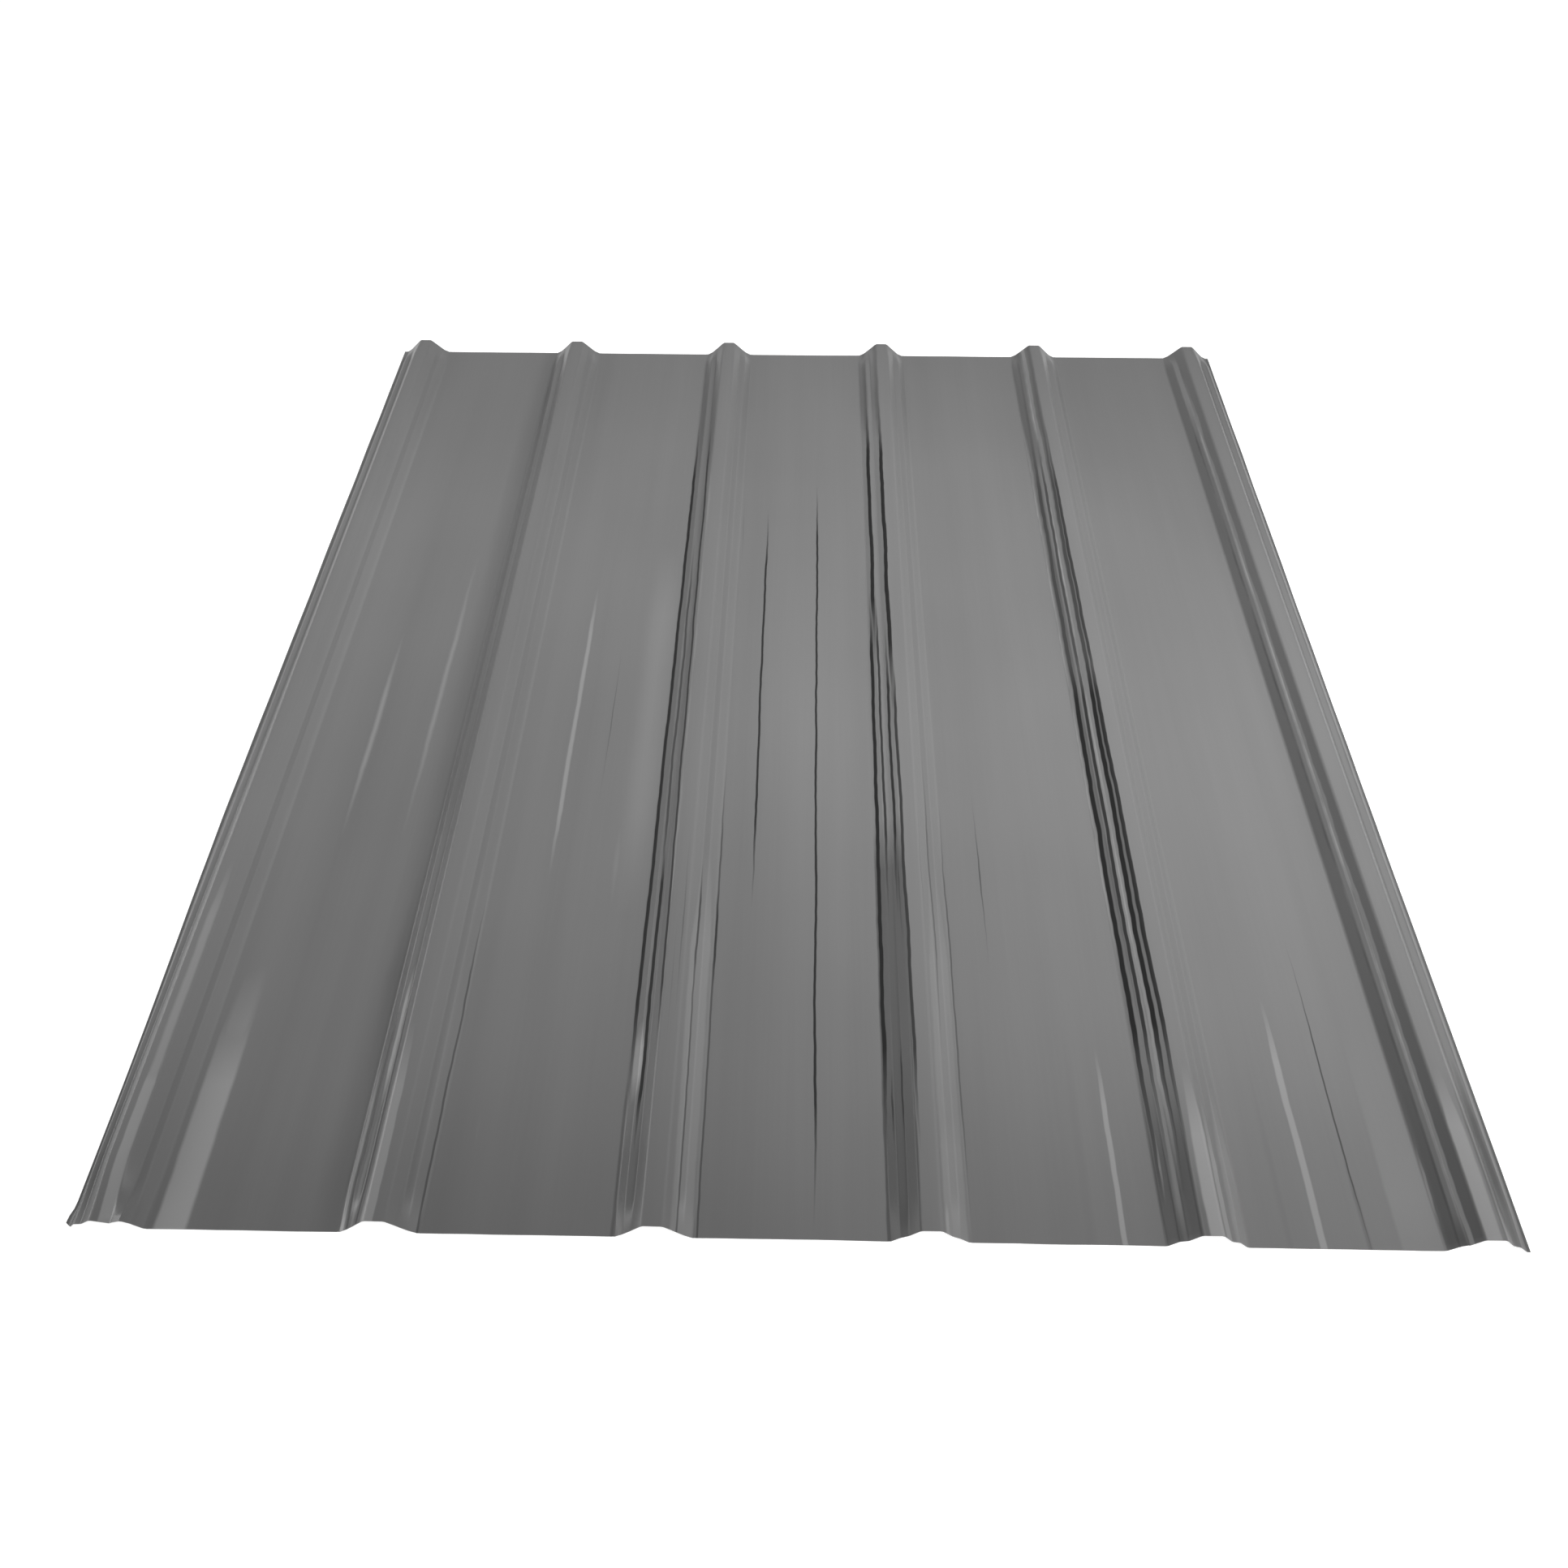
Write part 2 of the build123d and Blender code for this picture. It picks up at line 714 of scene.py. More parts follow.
class NodeGroups:
    """The effects that more than one material or mark uses, each made once."""

    def __init__(self) -> None:
        """Makes the groups."""
        self.drawn_line = self._drawn_line()
        self.grain = self._grain()

    @staticmethod
    def _new(name: str, inputs: dict[str, tuple[str, float]], outputs: list[str]) -> bpy.types.NodeTree:
        """Makes an empty group with its sockets.

        Args:
            name: The group's name.
            inputs: Socket type and default value for each input.
            outputs: Names of the outputs, which are all numbers.

        Returns:
            The group's tree.
        """
        group = bpy.data.node_groups.new(name, "ShaderNodeTree")
        for label, (kind, default) in inputs.items():
            socket = group.interface.new_socket(label, in_out="INPUT", socket_type=kind)
            if kind == "NodeSocketFloat":
                socket.default_value = default
        for label in outputs:
            group.interface.new_socket(label, in_out="OUTPUT", socket_type="NodeSocketFloat")
        return group

    def place_grain(self, nodes: Nodes, place: NodeSocket, across: float, along: float) -> NodeSocket:
        """Places the rolled grain in a material.

        Args:
            nodes: The material's nodes.
            place: Object coordinates.
            across: Scale across the sheet.
            along: Scale along it.

        Returns:
            The grain's output, from 0 to 1.
        """
        inputs = {"Vector": place, "Across Scale": across, "Along Scale": along}
        return nodes.add("ShaderNodeGroup", inputs, node_tree=self.grain).outputs["Fac"]

    def _drawn_line(self) -> bpy.types.NodeTree:
        """Draws one mark: a line along the ribs that tapers at its two ends.

        Returns:
            The group, with an input for each of a mark's values.
        """
        number = ("NodeSocketFloat", 0.0)
        own = {value.name: number for value in fields(Mark)}
        group = self._new("drawn_line", {"across": number, "along": number, **own}, ["mask"])
        nodes = Nodes(group)
        given = nodes.add("NodeGroupInput").outputs
        middle = nodes.sum("MULTIPLY", nodes.sum("ADD", given["near"], given["far"]), 0.5)
        reach = nodes.sum("SUBTRACT", given["far"], middle)
        off = nodes.sum("ABSOLUTE", nodes.sum("SUBTRACT", given["along"], middle))
        body = nodes.sum("DIVIDE", nodes.sum("SUBTRACT", reach, off), given["taper"], clamp=True)
        lost = nodes.sum("MULTIPLY", nodes.sum("SUBTRACT", 1.0, body), given["point"])
        width = nodes.sum("MULTIPLY", given["half_width"], nodes.sum("SUBTRACT", 1.0, lost))
        core = nodes.sum("MULTIPLY", width, nodes.sum("SUBTRACT", 1.0, given["softness"]))
        place = nodes.sum("MULTIPLY_ADD", given["along"], given["lean"], given["x"])
        aside = nodes.sum("ABSOLUTE", nodes.sum("SUBTRACT", given["across"], place))
        line = nodes.sum("MULTIPLY", nodes.ramp(aside, core, width, 1.0, 0.0), body)
        nodes.add("NodeGroupOutput", {"mask": nodes.sum("MULTIPLY", line, given["strength"])})
        return group

    def _grain(self) -> bpy.types.NodeTree:
        """Noise drawn out along the ribs, as rolling and rubbing leave it.

        Returns:
            The group.
        """
        group = self._new(
            "rolled_grain",
            {
                "Vector": ("NodeSocketVector", 0.0),
                "Across Scale": ("NodeSocketFloat", 40.0),
                "Along Scale": ("NodeSocketFloat", 1.0),
                "Detail": ("NodeSocketFloat", 3.0),
            },
            ["Fac"],
        )
        nodes = Nodes(group)
        given = nodes.add("NodeGroupInput").outputs
        stretch = nodes.add(
            "ShaderNodeCombineXYZ", {"X": given["Across Scale"], "Y": given["Along Scale"], "Z": 8.0}
        )
        scaled = {0: given["Vector"], 1: stretch.outputs[0]}
        point = nodes.add("ShaderNodeVectorMath", scaled, operation="MULTIPLY")
        nodes.add("NodeGroupOutput", {"Fac": nodes.clouds(point.outputs[0], 1.0, given["Detail"])})
        return group


@dataclass(frozen=True)
class RibWearAndPaintedLight:
    """Wear, painted shade and painted light on the top coat of one rib and the half pans beside it.

    Attributes:
        shade: Broad soft painted shade on flanks, ledges and pans, which lies under the other marks.
        light: Painted highlights and reflections, and painted light where the lamps leave flanks,
            ledges and pans darker.
        dark: Scratches and scuffs, with painted shade and dark reflections along the bends, which lie
            over the other marks.
        left_tone: Places along the rib, and the paint's share of its level there on slopes that face
            left: partly dirt, and partly painted shade and painted light for how the lamps fall on
                them.
        right_tone: The same for slopes that face right.
    """

    shade: tuple[Mark, ...] = ()
    light: tuple[Mark, ...] = ()
    dark: tuple[Mark, ...] = ()
    left_tone: tuple[tuple[float, float], ...] = ((0.0, 1.0),)
    right_tone: tuple[tuple[float, float], ...] = ((0.36, 1.0), (0.55, 0.85))


# From the underlap to the overlap; a mark that ends at OFF_END runs off the near end
OFF_END = -0.72
# Each rib's scratches and scuffs, with the shade, highlights, reflections and light painted on its top
# coat
RIB_WEAR_AND_PAINTED_LIGHT = (
    RibWearAndPaintedLight(
        shade=(
            Mark(-0.015, OFF_END, -0.46, 0.009, 0.35, 1.0),
            Mark(0.0095, -0.1, 0.45, 0.006, 0.08, 0.8, point=0.0),
            Mark(0.024, -0.4, 0.55, 0.0048, 0.11, 0.5, point=0.0),
        ),
        light=(
            Mark(0.003, OFF_END, -0.26, 0.0058, 0.48, 0.7, 0.08),
            Mark(0.003, OFF_END, -0.47, 0.0054, 0.6, 0.3, 0.03),
            Mark(-0.0185, -0.34, 0.5, 0.0042, 0.16, 0.8, 0.15, point=0.0),
            Mark(0.0475, OFF_END, -0.355, 0.015, 0.38, 0.6, 0.08, point=0.0),
            Mark(0.0472, OFF_END, -0.41, 0.014, 0.78, 0.3, 0.08, point=0.0),
            Mark(0.03, OFF_END, 0.72, 0.06, 0.22, 1.0, 0.5, point=0.0),
            Mark(0.084, -0.24, 0.05, 0.0042, 0.45, 1.0, 0.1),
        ),
        left_tone=((-0.56, 0.42), (-0.2, 0.66), (0.35, 0.9)),
    ),
    RibWearAndPaintedLight(
        shade=(
            Mark(-0.033, OFF_END, 0.72, 0.024, 0.2, 1.0, 0.15),
            Mark(-0.033, OFF_END, -0.05, 0.019, 0.36, 1.0, 0.35),
            Mark(-0.0206, -0.3, 0.5, 0.0034, 0.22, 0.5, point=0.0),
            Mark(0.008, -0.05, 0.45, 0.009, 0.07, 0.8, point=0.0),
            Mark(0.0245, -0.45, 0.5, 0.0048, 0.09, 0.5, point=0.0),
        ),
        light=(
            Mark(-0.0605, -0.24, 0.18, 0.004, 0.35, 1.0, 0.15),
            Mark(-0.0282, -0.2, 0.5, 0.0034, 0.11, 0.6, point=0.0),
            Mark(-0.0268, OFF_END, -0.455, 0.0024, 0.6, 0.5, 0.05),
            Mark(-0.0174, -0.52, -0.378, 0.002, 0.92, 0.6, 0.04),
            Mark(-0.0178, OFF_END, -0.46, 0.0016, 0.25),
            Mark(-0.0053, OFF_END, -0.44, 0.0055, 0.45, 0.25, 0.06, point=0.4),
            Mark(0.0215, -0.62, -0.2, 0.006, 0.1, 1.0),
            Mark(0.0585, -0.56, -0.49, 0.003, 0.06, 1.0, 0.03),
            Mark(0.0795, -0.28, 0.13, 0.003, 0.5, 0.7, 0.08),
            Mark(0.04, OFF_END, 0.6, 0.055, 0.09, 1.0, 0.4, point=0.0),
        ),
        dark=(
            Mark(-0.0222, OFF_END, -0.4, 0.0016, 0.45, 0.6, 0.05),
            Mark(-0.0138, OFF_END, -0.39, 0.0012, 0.5, 0.6, 0.05),
            Mark(0.0283, OFF_END, -0.29, 0.0009, 0.6),
        ),
        left_tone=((-0.56, 0.8), (-0.25, 0.95), (0.1, 1.18), (0.32, 1.3), (0.52, 0.95)),
        right_tone=((-0.2, 0.99), (0.0, 0.94), (0.36, 0.94), (0.55, 0.82)),
    ),
    RibWearAndPaintedLight(
        shade=(
            Mark(-0.02, OFF_END, -0.49, 0.0135, 0.27, 0.5, 0.06),
            Mark(-0.0175, 0.3, 0.72, 0.011, 0.18, 0.6, 0.1, point=0.0),
            Mark(-0.019, -0.36, 0.6, 0.0042, 0.2, 0.6, 0.1, point=0.0),
        ),
        light=(
            Mark(-0.047, -0.32, 0.2, 0.022, 0.17, 1.0, 0.12, point=0.1),
            Mark(0.1, -0.3, 0.25, 0.09, 0.08, 1.0, 0.2, point=0.0),
            Mark(-0.0625, -0.31, -0.21, 0.004, 0.12, 1.0, 0.04),
            Mark(-0.024, -0.505, -0.43, 0.0055, 0.75, 0.6, 0.025),
            Mark(-0.009, -0.36, 0.38, 0.0032, 0.36, 0.8, 0.1),
            Mark(0.0198, OFF_END, -0.25, 0.0088, 0.2, 0.25),
        ),
        dark=(
            Mark(-0.085, -0.19, 0.038, 0.0007, 0.35),
            Mark(-0.0292, -0.53, 0.45, 0.002, 0.98, 0.4, 0.12),
            Mark(-0.0305, OFF_END, -0.45, 0.002, 0.35, 0.8, 0.05),
            Mark(-0.0188, -0.55, -0.24, 0.0016, 0.97, 0.4, 0.05),
            Mark(-0.0195, -0.32, 0.2, 0.0015, 0.7),
            Mark(-0.0114, -0.47, 0.42, 0.0014, 0.84, 0.5, 0.07, -0.0055),
            Mark(-0.001, -0.47, -0.33, 0.0008, 0.25),
            Mark(0.0042, -0.44, -0.24, 0.0009, 0.35),
            Mark(0.0165, OFF_END, -0.26, 0.0009, 0.6, 0.6, 0.05),
            Mark(0.0165, -0.42, -0.26, 0.0012, 0.75, 0.6, 0.05),
            Mark(0.0311, OFF_END, -0.13, 0.0011, 0.6),
            Mark(0.0311, -0.46, -0.22, 0.0014, 0.9),
            Mark(0.033, 0.17, 0.29, 0.0009, 0.35),
            Mark(0.0607, -0.31, 0.27, 0.0014, 0.98, 0.5),
        ),
        left_tone=((-0.5, 1.05), (0.3, 1.2), (0.5, 0.9)),
        right_tone=((-0.3, 1.0), (0.0, 0.96), (0.3, 0.93), (0.52, 0.78)),
    ),
    RibWearAndPaintedLight(
        shade=(
            Mark(-0.019, OFF_END, -0.21, 0.0126, 0.52, 0.12, 0.06, point=0.0),
            Mark(-0.0228, 0.36, 0.72, 0.004, 0.48, 1.0, 0.08),
            Mark(-0.0096, 0.36, 0.72, 0.004, 0.46, 1.0, 0.08),
        ),
        light=(
            Mark(-0.1, -0.3, 0.25, 0.09, 0.08, 1.0, 0.2, point=0.0),
            Mark(0.0125, OFF_END, -0.575, 0.0025, 0.45, 0.8, 0.02),
            Mark(0.019, OFF_END, -0.27, 0.0095, 0.15, 0.25),
            Mark(0.019, OFF_END, -0.46, 0.0095, 0.22, 0.25, 0.08),
        ),
        dark=(
            Mark(-0.0835, -0.6, 0.32, 0.0014, 1.0, 0.5),
            Mark(-0.0232, 0.0, 0.48, 0.0022, 1.0, 0.3, 0.1, 0.003),
            Mark(-0.0265, -0.54, 0.12, 0.0019, 1.0, 0.4, 0.09, 0.004),
            Mark(-0.0236, -0.54, -0.47, 0.0009, 0.6, 0.6, 0.03),
            Mark(-0.0205, -0.33, 0.13, 0.0015, 0.95, 0.5),
            Mark(-0.016, -0.54, -0.44, 0.0009, 0.7, 0.6, 0.03),
            Mark(-0.0126, -0.33, 0.06, 0.0015, 0.95, 0.5),
            Mark(-0.0108, -0.37, -0.2, 0.001, 0.55),
            Mark(-0.0085, -0.1, 0.48, 0.0022, 1.0, 0.3, 0.12, 0.0015),
            Mark(-0.007, -0.55, 0.02, 0.0018, 0.92, 0.5, 0.09, -0.003),
            Mark(0.009, -0.35, -0.2, 0.0007, 0.25),
            Mark(0.017, -0.46, -0.13, 0.0009, 0.45),
            Mark(0.0305, -0.6, -0.18, 0.001, 0.55),
            Mark(0.0625, -0.37, -0.17, 0.0009, 0.65),
        ),
        left_tone=((-0.56, 1.0), (-0.42, 1.45), (-0.2, 1.7), (0.38, 1.7), (0.5, 1.1)),
        right_tone=((0.0, 1.0), (0.34, 0.95), (0.52, 0.73)),
    ),
    RibWearAndPaintedLight(
        shade=(
            Mark(-0.0825, OFF_END, -0.4, 0.006, 0.06, 1.0),
            Mark(-0.0205, 0.3, 0.72, 0.0042, 0.36, 0.7, 0.06, point=0.0),
            Mark(-0.0082, 0.34, 0.72, 0.0036, 0.3, 0.8, 0.06, point=0.0),
            Mark(-0.0212, -0.46, 0.4, 0.0022, 0.25, 0.5, 0.06, point=0.0),
            Mark(-0.021, OFF_END, -0.48, 0.0036, 0.3, 0.8, 0.06),
            Mark(-0.01, OFF_END, -0.5, 0.0042, 0.28, 0.6, 0.06),
            Mark(-0.0035, OFF_END, -0.54, 0.0028, 0.22, 0.8, 0.05),
            Mark(0.0598, OFF_END, -0.43, 0.0035, 0.08, 1.0),
        ),
        light=(
            Mark(-0.0592, OFF_END, -0.445, 0.0026, 0.45, 0.5, 0.05),
            Mark(-0.0255, -0.58, -0.52, 0.001, 0.35, 0.6, 0.03),
            Mark(-0.0284, -0.4, 0.46, 0.0017, 0.6, 0.7, 0.1, point=0.0),
            Mark(-0.014, -0.57, 0.72, 0.0024, 0.62, 0.6, 0.1, point=0.0),
            Mark(0.0035, OFF_END, -0.47, 0.0062, 0.42, 0.3, 0.06),
            Mark(0.0125, OFF_END, -0.49, 0.003, 0.4, 0.4, 0.06),
            Mark(0.0235, OFF_END, -0.48, 0.0065, 0.2, 0.4, 0.06),
            Mark(0.0833, OFF_END, -0.395, 0.0033, 0.45, 0.45, 0.06),
        ),
        dark=(
            Mark(-0.0252, -0.58, 0.1, 0.002, 1.0, 0.4, 0.15, 0.003),
            Mark(-0.0252, -0.12, 0.43, 0.0018, 0.62, 0.4, 0.13, 0.003),
            Mark(-0.0185, -0.58, 0.1, 0.002, 1.0, 0.4, 0.15, 0.003),
            Mark(-0.0185, -0.12, 0.43, 0.0018, 0.8, 0.4, 0.13, 0.003),
            Mark(-0.0107, -0.58, 0.1, 0.0019, 1.0, 0.4, 0.15, 0.0035),
            Mark(-0.0107, -0.12, 0.43, 0.0017, 0.6, 0.4, 0.13, 0.003),
            Mark(-0.0067, -0.58, 0.1, 0.0021, 1.0, 0.4, 0.15),
            Mark(-0.0067, -0.12, 0.43, 0.0018, 0.88, 0.4, 0.13),
        ),
        left_tone=((-0.56, 0.38), (-0.44, 1.1), (0.2, 1.15), (0.4, 1.0)),
        right_tone=((-0.4, 1.0), (-0.1, 0.92), (0.36, 0.94), (0.55, 0.8)),
    ),
    RibWearAndPaintedLight(
        shade=(
            Mark(-0.0185, OFF_END, 0.3, 0.004, 0.17, 0.8, 0.2),
            Mark(-0.02, OFF_END, 0.5, 0.0035, 0.44, 0.5, 0.1, point=0.0),
            Mark(0.0275, OFF_END, 0.72, 0.0078, 0.42, 0.5, 0.15, point=0.0),
        ),
        light=(
            Mark(-0.044, OFF_END, -0.42, 0.019, 0.28, 0.2, 0.25, point=0.1),
            Mark(-0.0285, -0.6, -0.52, 0.001, 0.5, 0.6, 0.03),
            Mark(-0.0146, OFF_END, 0.55, 0.0017, 0.42, 0.6, 0.1, point=0.0),
            Mark(-0.001, OFF_END, -0.47, 0.0065, 0.36, 0.3, 0.05),
        ),
        dark=(
            Mark(-0.0838, OFF_END, -0.52, 0.0028, 0.3, 1.0, 0.05),
            Mark(-0.0832, -0.66, -0.335, 0.0009, 0.75),
            Mark(0.008, -0.62, -0.47, 0.0022, 0.4, 0.8, 0.05),
            Mark(0.0183, -0.62, -0.45, 0.0042, 0.55, 0.8, 0.06),
        ),
        left_tone=((-0.56, 0.46), (-0.2, 0.78), (0.2, 0.95)),
        right_tone=((-0.5, 0.66), (-0.3, 0.54), (0.35, 0.56), (0.52, 0.42)),
    ),
)


@dataclass(frozen=True)
class TopCoat:
    """The satin grey paint on the side that sheds water.

    Attributes:
        dark: Linear level of its darkest clouds.
        light: Linear level of its lightest clouds.
        mark: Linear level of a dark mark and of the painted shade.
        painted_light_level: Linear level of the painted highlights, reflections and light.
        metallic: Share of its sheen that is metallic.
        roughness: Its roughness, and how much of it the grain adds.
        mark_roughness: What a dark mark adds to its roughness.
        cloud_scale: Scale of the clouds.
        cloud_edges: Where in their noise they are darkest and lightest.
        peel_scale: Scale of the fine dimples that paint dries with.
        peel_depth: Their depth.
        peel_strength: How strongly they show, from 0 to 1.
        grains: Scales across and along, share and levels of the coarse and the fine grain.
        end_tone: The paint's share of its level at the near end, where painted shade darkens it.
        end_run: Where it starts to gain on that level, and where it is back to its full level.
        slope_gain: How quickly a slope takes on the painted shade and light of its side as it tips from
            level.
        wander: Scales across and along, and reach, of the marks' wandering to and fro.
    """

    dark: float = 0.130
    light: float = 0.140
    mark: float = 0.006
    painted_light_level: float = 0.30
    metallic: float = 0.1
    roughness: tuple[float, float] = (0.34, 0.12)
    mark_roughness: float = 0.35
    cloud_scale: float = 3.1
    cloud_edges: tuple[float, float] = (0.3, 0.7)
    peel_scale: float = 900.0
    peel_depth: float = 0.00005
    peel_strength: float = 0.35
    grains: tuple[tuple[float, ...], ...] = (
        (38.0, 1.1, 0.2, 0.62, 1.38),
        (420.0, 5.0, 0.08, 0.6, 1.4),
    )
    end_tone: float = 0.88
    end_run: tuple[float, float] = (-0.62, -0.45)
    slope_gain: float = 1.3
    wander: tuple[tuple[float, float, float], ...] = ((30.0, 13.0, 0.0009), (60.0, 70.0, 0.0003))

    def make(self, groups: NodeGroups, number: int, centre: float, wear_and_painted_light: RibWearAndPaintedLight) -> Material:
        """Makes the material for one rib and the half pans beside it.

        Args:
            groups: The shared node groups.
            number: The rib's number from the underlap.
            centre: The rib's middle across the sheet.
            wear_and_painted_light: How the coat has worn there, and the shade and light painted on it.

        Returns:
            The material.
        """
        material, nodes = new_material(f"grey_top_coat_{number}")
        place = nodes.add("ShaderNodeTexCoord").outputs["Object"]
        parts = nodes.add("ShaderNodeSeparateXYZ", {0: place}).outputs
        across = self._wandering(nodes, parts["X"], parts["Y"], centre)
        clouds = nodes.ramp(nodes.clouds(place, self.cloud_scale, 2.0), *self.cloud_edges)
        paint = nodes.mix(clouds, grey(self.dark), grey(self.light))
        grains = [groups.place_grain(nodes, place, *values[:2]) for values in self.grains]
        for grain, (*_, share, low, high) in zip(grains, self.grains):
            paint = nodes.mix(share, paint, nodes.mix(grain, grey(low), grey(high)), "MULTIPLY")
        # Painted shade and light, partly dirt: the paint's level by the way each slope faces and its
        # place along the rib
        tone = self._tone(nodes, parts["Y"], wear_and_painted_light)
        toned = {0: paint, "Scale": tone}
        paint = nodes.add("ShaderNodeVectorMath", toned, operation="SCALE").outputs[0]
        smoothest, added = self.roughness
        rough = nodes.sum("MULTIPLY_ADD", grains[0], added, smoothest)
        # Painted shade first, then painted highlights, reflections and light, then scratches with
        # painted shade in the bends
        layers = ((wear_and_painted_light.shade, self.mark), (wear_and_painted_light.light, self.painted_light_level), (wear_and_painted_light.dark, self.mark))
        for marks, level in layers:
            if marks:
                mask = self._marks(nodes, groups, marks, across, parts["Y"])
                paint = nodes.mix(mask, paint, grey(level))
        if wear_and_painted_light.dark:
            rough = nodes.sum("MULTIPLY_ADD", mask, self.mark_roughness, rough)
        peel = nodes.clouds(place, self.peel_scale, 1.0)
        dimples = {"Strength": self.peel_strength, "Distance": self.peel_depth, "Height": peel}
        nodes.end_surface(
            {
                "Base Color": paint,
                "Roughness": rough,
                "Metallic": self.metallic,
                "Normal": nodes.add("ShaderNodeBump", dimples).outputs["Normal"],
            }
        )
        return material

    def _tone(self, nodes: Nodes, along: NodeSocket, wear_and_painted_light: RibWearAndPaintedLight) -> NodeSocket:
        """Painted shade and light: the paint's share of its level by place along the sheet and by
        slope.

        Args:
            nodes: The material's nodes.
            along: The place along the sheet.
            wear_and_painted_light: How the coat has worn, and the shade and light painted on it.

        Returns:
            The share.
        """
        slope = nodes.add("ShaderNodeAttribute", attribute_name=SLOPE).outputs["Fac"]
        # Painted shade: the paint is darker towards the near end
        total = nodes.ramp(along, *self.end_run, self.end_tone, 1.0)
        for way, tones in ((-self.slope_gain, wear_and_painted_light.left_tone), (self.slope_gain, wear_and_painted_light.right_tone)):
            facing = nodes.sum("MULTIPLY", slope, way, clamp=True)
            change = tones[0][1] - 1.0
            for (near, first), (far, second) in zip(tones, tones[1:]):
                change = nodes.sum("ADD", change, nodes.ramp(along, near, far, 0.0, second - first))
            total = nodes.sum("MULTIPLY_ADD", facing, change, total)
        return total

    def _wandering(self, nodes: Nodes, x: NodeSocket, y: NodeSocket, centre: float) -> NodeSocket:
        """The place across the sheet from a rib's middle, shifted a little to and fro along it.

        Args:
            nodes: The material's nodes.
            x: The place across the sheet.
            y: The place along it.
            centre: The rib's middle across the sheet.

        Returns:
            The shifted place.
        """
        total = nodes.sum("SUBTRACT", x, centre)
        for across, along, reach in self.wander:
            columns = nodes.sum("MULTIPLY", x, across)
            rows = nodes.sum("MULTIPLY", y, along)
            point = nodes.add("ShaderNodeCombineXYZ", {"X": columns, "Y": rows}).outputs[0]
            clouds = nodes.clouds(point, 1.0, 0.0, noise_dimensions="2D")
            shift = nodes.sum("MULTIPLY_ADD", clouds, 2.0 * reach, -reach)
            total = nodes.sum("ADD", total, shift)
        return total

    @staticmethod
    def _marks(nodes: Nodes, groups: NodeGroups, marks: tuple[Mark, ...], across: NodeSocket,
               along: NodeSocket) -> NodeSocket:
        """Draws marks that lie in one layer.

        Args:
            nodes: The material's nodes.
            groups: The shared node groups.
            marks: The marks.
            across: The place across the sheet from the rib's middle.
            along: The place along it.

        Returns:
            How strongly the strongest of them shows.
        """
        total = 0.0
        for mark in marks:
            inputs = {"across": across, "along": along, **asdict(mark)}
            mask = nodes.add("ShaderNodeGroup", inputs, node_tree=groups.drawn_line).outputs["mask"]
            total = nodes.sum("MAXIMUM", total, mask)
        return total


@dataclass(frozen=True)
class BackingCoat:
    """The thin pale wash coat on the underside.

    Attributes:
        level: Its linear level.
        span: Shares of that level in its darkest and its lightest grain.
        warmth: How much warmer than grey it is.
        grain: Scales of the grain across and along the sheet.
        roughness: Its roughness, and how much of it the grain adds.
    """

    level: float = 0.42
    span: tuple[float, float] = (0.86, 1.12)
    warmth: float = 0.01
    grain: tuple[float, float] = (30.0, 1.4)
    roughness: tuple[float, float] = (0.5, 0.15)

    def make(self, groups: NodeGroups) -> Material:
        """Makes the material.

        Args:
            groups: The shared node groups.

        Returns:
            The material.
        """
        material, nodes = new_material("pale_backing_coat")
        place = nodes.add("ShaderNodeTexCoord").outputs["Object"]
        grain = groups.place_grain(nodes, place, *self.grain)
        darkest, lightest = (grey(self.level * share, self.warmth) for share in self.span)
        paint = nodes.mix(grain, darkest, lightest)
        smoothest, added = self.roughness
        rough = nodes.sum("MULTIPLY_ADD", grain, added, smoothest)
        nodes.end_surface({"Base Color": paint, "Roughness": rough})
        return material


@dataclass(frozen=True)
class CutSteel:
    """The bare zinc and steel of the sheared edges.

    Attributes:
        level: Its linear level.
        span: Shares of that level in its darkest and its lightest specks.
        speck_scale: Scale of the specks.
        roughness: Its roughness, and how much of it the specks add.
        metallic: Share of it that shows as bare metal.
    """

    level: float = 0.35
    span: tuple[float, float] = (0.6, 1.2)
    speck_scale: float = 260.0
    roughness: tuple[float, float] = (0.35, 0.2)
    metallic: float = 0.8

    def make(self) -> Material:
        """Makes the material.

        Returns:
            The material.
        """
        material, nodes = new_material("cut_steel")
        place = nodes.add("ShaderNodeTexCoord").outputs["Object"]
        specks = nodes.clouds(place, self.speck_scale, 2.0)
        darkest, lightest = (grey(self.level * share) for share in self.span)
        steel = nodes.mix(specks, darkest, lightest)
        smoothest, added = self.roughness
        rough = nodes.sum("MULTIPLY_ADD", specks, added, smoothest)
        nodes.end_surface({"Base Color": steel, "Roughness": rough, "Metallic": self.metallic})
        return material


@dataclass(frozen=True)
class Softbox:
    """A soft rectangular lamp that faces a point.

    Attributes:
        name: What it is called.
        place: Its middle.
        aim: The point that it faces.
        width: Its size across.
        height: Its size up.
        power: Its power in watts.
        spread: Angle that its light is kept within, in radians.
    """

    name: str
    place: tuple[float, float, float]
    aim: tuple[float, float, float]
    width: float
    height: float
    power: float
    spread: float = math.pi

    def hang(self) -> None:
        """Makes the lamp."""
        light = bpy.data.lights.new(self.name, "AREA")
        light.shape = "RECTANGLE"
        light.size = self.width
        light.size_y = self.height
        light.energy = self.power
        light.spread = self.spread
        lamp = bpy.data.objects.new(self.name, light)
        lamp.location = self.place
        lamp.rotation_mode = "QUATERNION"
        lamp.rotation_quaternion = (Vector(self.aim) - Vector(self.place)).to_track_quat("-Z", "Y")
        lamp.visible_camera = False
        bpy.context.scene.collection.objects.link(lamp)


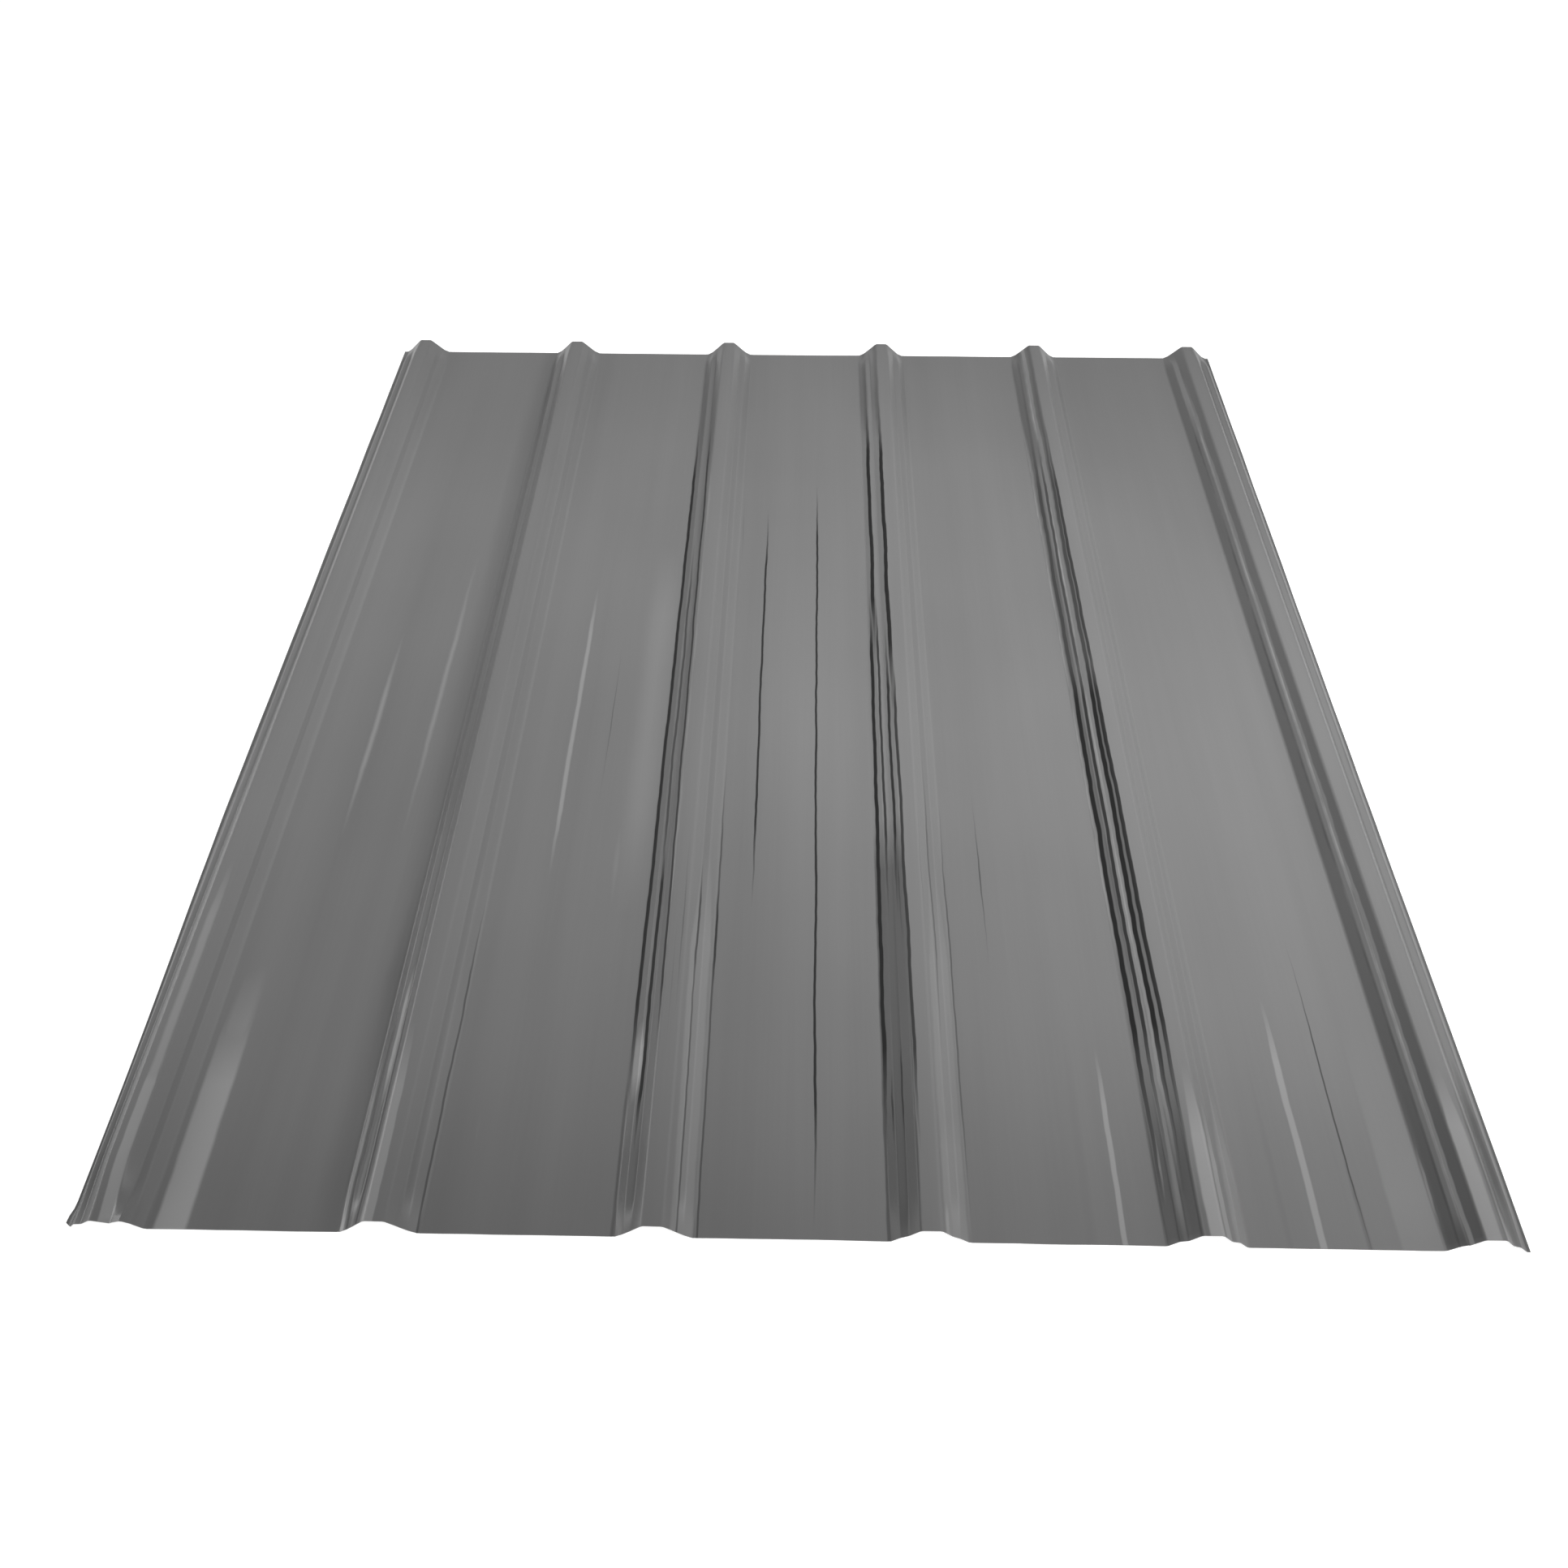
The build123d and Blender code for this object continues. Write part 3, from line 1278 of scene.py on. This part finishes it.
@dataclass
class Studio:
    """The pale light table, the soft light and the camera.

    Attributes:
        floor_size: Side of the light table.
        floor_level: Linear level of its surface.
        floor_glow: How brightly it is lit from below.
        floor_roughness: Its roughness.
        floor_gap: How far it lies under the sheet.
        softboxes: The lamps.
        room_level: Level of the room's light.
        backdrop_level: Level of the room where the camera sees it.
        glow_level: Level of the bright part of the room, behind the sheet.
        glow_way: Direction of its middle.
        glow_edge: Cosine of the angle at which it has faded out.
        camera_place: The camera's place.
        camera_pitch: How far it looks down, in degrees.
        camera_turn: How far it is turned to the left of the ribs, in degrees.
        camera_roll: How far it leans, in degrees.
        camera_lens: Its focal length for a 36 mm wide frame, in millimetres.
    """

    floor_size: float = 30.0
    floor_level: float = 0.35
    floor_glow: float = 0.85
    floor_roughness: float = 0.9
    floor_gap: float = 0.0002
    softboxes: tuple[Softbox, ...] = (
        Softbox("key_softbox", (1.65, -1.05, 2.0), (0.17, 0.134, 0.0), 0.39, 0.9, 10.0, 0.83),
        Softbox("left_strip", (-1.6, 0.0, 0.45), (0.0, 0.0, 0.0), 1.6, 0.4, 9.5),
    )
    room_level: float = 0.46
    backdrop_level: float = 0.95
    glow_level: float = 0.56
    glow_way: tuple[float, float, float] = (0.19, 0.70, 0.68)
    glow_edge: float = 0.72
    camera_place: Vector = field(default_factory=lambda: Vector((0.0028, -1.0384, 0.9544)))
    camera_pitch: float = 47.414
    camera_turn: float = 1.074
    camera_roll: float = -0.044
    camera_lens: float = 31.51

    def build(self, low: Vector) -> None:
        """Makes the whole studio.

        Args:
            low: Lowest corner of the object, which lies on the floor.
        """
        self._lay_floor(low.z)
        for softbox in self.softboxes:
            softbox.hang()
        self._light_room()
        self._set_camera()
        bpy.context.scene.view_settings.view_transform = "Standard"

    def _lay_floor(self, height: float) -> None:
        """Lays the pale light table.

        Args:
            height: The sheet's lowest point.
        """
        bpy.ops.object.select_all(action="DESELECT")
        place = (0.0, 0.0, height - self.floor_gap)
        bpy.ops.mesh.primitive_plane_add(size=self.floor_size, location=place)
        floor = bpy.context.object
        floor.name = "floor"
        material, nodes = new_material("pale_floor")
        nodes.end_surface(
            {
                "Base Color": grey(self.floor_level),
                "Roughness": self.floor_roughness,
                "Emission Color": grey(1.0),
                "Emission Strength": self.floor_glow,
            }
        )
        floor.data.materials.append(material)

    def _light_room(self) -> None:
        """Lights the room evenly, with a bright part behind the sheet that its satin paint picks up."""
        world = bpy.data.worlds.new("studio")
        world.use_nodes = True
        bpy.context.scene.world = world
        nodes = Nodes(world.node_tree)
        way = nodes.add("ShaderNodeTexCoord").outputs["Generated"]
        way = nodes.add("ShaderNodeVectorMath", {0: way}, operation="NORMALIZE").outputs[0]
        crest = Vector(self.glow_way).normalized()
        near = nodes.add("ShaderNodeVectorMath", {0: way, 1: crest}, operation="DOT_PRODUCT")
        glow = nodes.ramp(near.outputs["Value"], self.glow_edge, 1.0)
        colour = nodes.mix(glow, grey(self.room_level), grey(self.glow_level))
        seen = nodes.add("ShaderNodeLightPath").outputs["Is Camera Ray"]
        colour = nodes.mix(seen, colour, grey(self.backdrop_level))
        background = nodes.add("ShaderNodeBackground", {"Color": colour, "Strength": 1.0})
        nodes.add("ShaderNodeOutputWorld", {"Surface": background.outputs[0]})

    def _set_camera(self) -> None:
        """Stands the camera over the sheet's near end and makes it the scene's own."""
        data = bpy.data.cameras.new("camera")
        data.lens = self.camera_lens
        data.sensor_width = 36.0
        data.clip_start = 0.01
        data.clip_end = 100.0
        camera = bpy.data.objects.new("camera", data)
        turn = Matrix.Rotation(math.radians(self.camera_turn), 4, "Z")
        tilt = Matrix.Rotation(math.radians(90.0 - self.camera_pitch), 4, "X")
        lean = Matrix.Rotation(math.radians(self.camera_roll), 4, "Z")
        camera.matrix_world = Matrix.Translation(self.camera_place) @ turn @ tilt @ lean
        bpy.context.scene.collection.objects.link(camera)
        bpy.context.scene.camera = camera


def main() -> None:
    """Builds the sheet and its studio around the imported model."""
    logging.basicConfig(level=logging.INFO, format="%(message)s")
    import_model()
    low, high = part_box(NODE)
    maker = RoofingSheet(low, high)
    sheet = maker.build()
    groups = NodeGroups()
    coat = TopCoat()
    tops = [
        coat.make(groups, number, centre, wear_and_painted_light)
        for number, (centre, wear_and_painted_light) in enumerate(zip(maker.rib_centres, RIB_WEAR_AND_PAINTED_LIGHT), 1)
    ]
    maker.dress(sheet, tops, BackingCoat().make(groups), CutSteel().make())
    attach(sheet, BODY)
    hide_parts(NODE)
    triangles = sum(len(polygon.vertices) - 2 for polygon in sheet.data.polygons)
    LOG.info("%s: %d triangles", sheet.name, triangles)
    Studio().build(low)
    LOG.info("studio: light table, softboxes, room light and camera")


if __name__ == "__main__":
    main()
